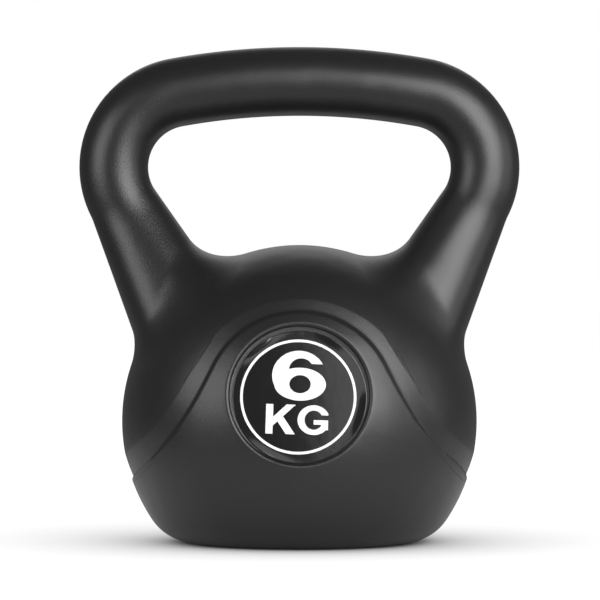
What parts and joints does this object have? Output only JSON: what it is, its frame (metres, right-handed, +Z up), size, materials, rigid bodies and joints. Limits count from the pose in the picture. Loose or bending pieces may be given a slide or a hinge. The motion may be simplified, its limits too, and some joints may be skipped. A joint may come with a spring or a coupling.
{
  "type": "kettlebell",
  "caption": "Vinyl kettlebell with a wide handle: blow-moulded shell filled with cement mortar, filler plug in the base, round weight label in a recess on each side.",
  "frame": {"origin": "on the floor under the middle of the bell, at the centre of the flat base", "axes": "+Z up, +X to the right along the grip as the front is seen, +Y from front to back"},
  "size_m": [0.2112, 0.1662, 0.2372],
  "materials": {
    "shell_plastic": "satin, fine mould grain",
    "mortar": "cast cement mortar, rough",
    "plug_plastic": "satin",
    "label_film": "gloss",
    "label_ink": "gloss white print"
  },
  "bodies": {
    "root": {"shell": "shell_plastic", "mortar_fill": "mortar", "filler_plug": "plug_plastic", "label_front": "label_film", "label_front_print": "label_ink", "label_back": "label_film", "label_back_print": "label_ink"}
  },
  "joints": []
}
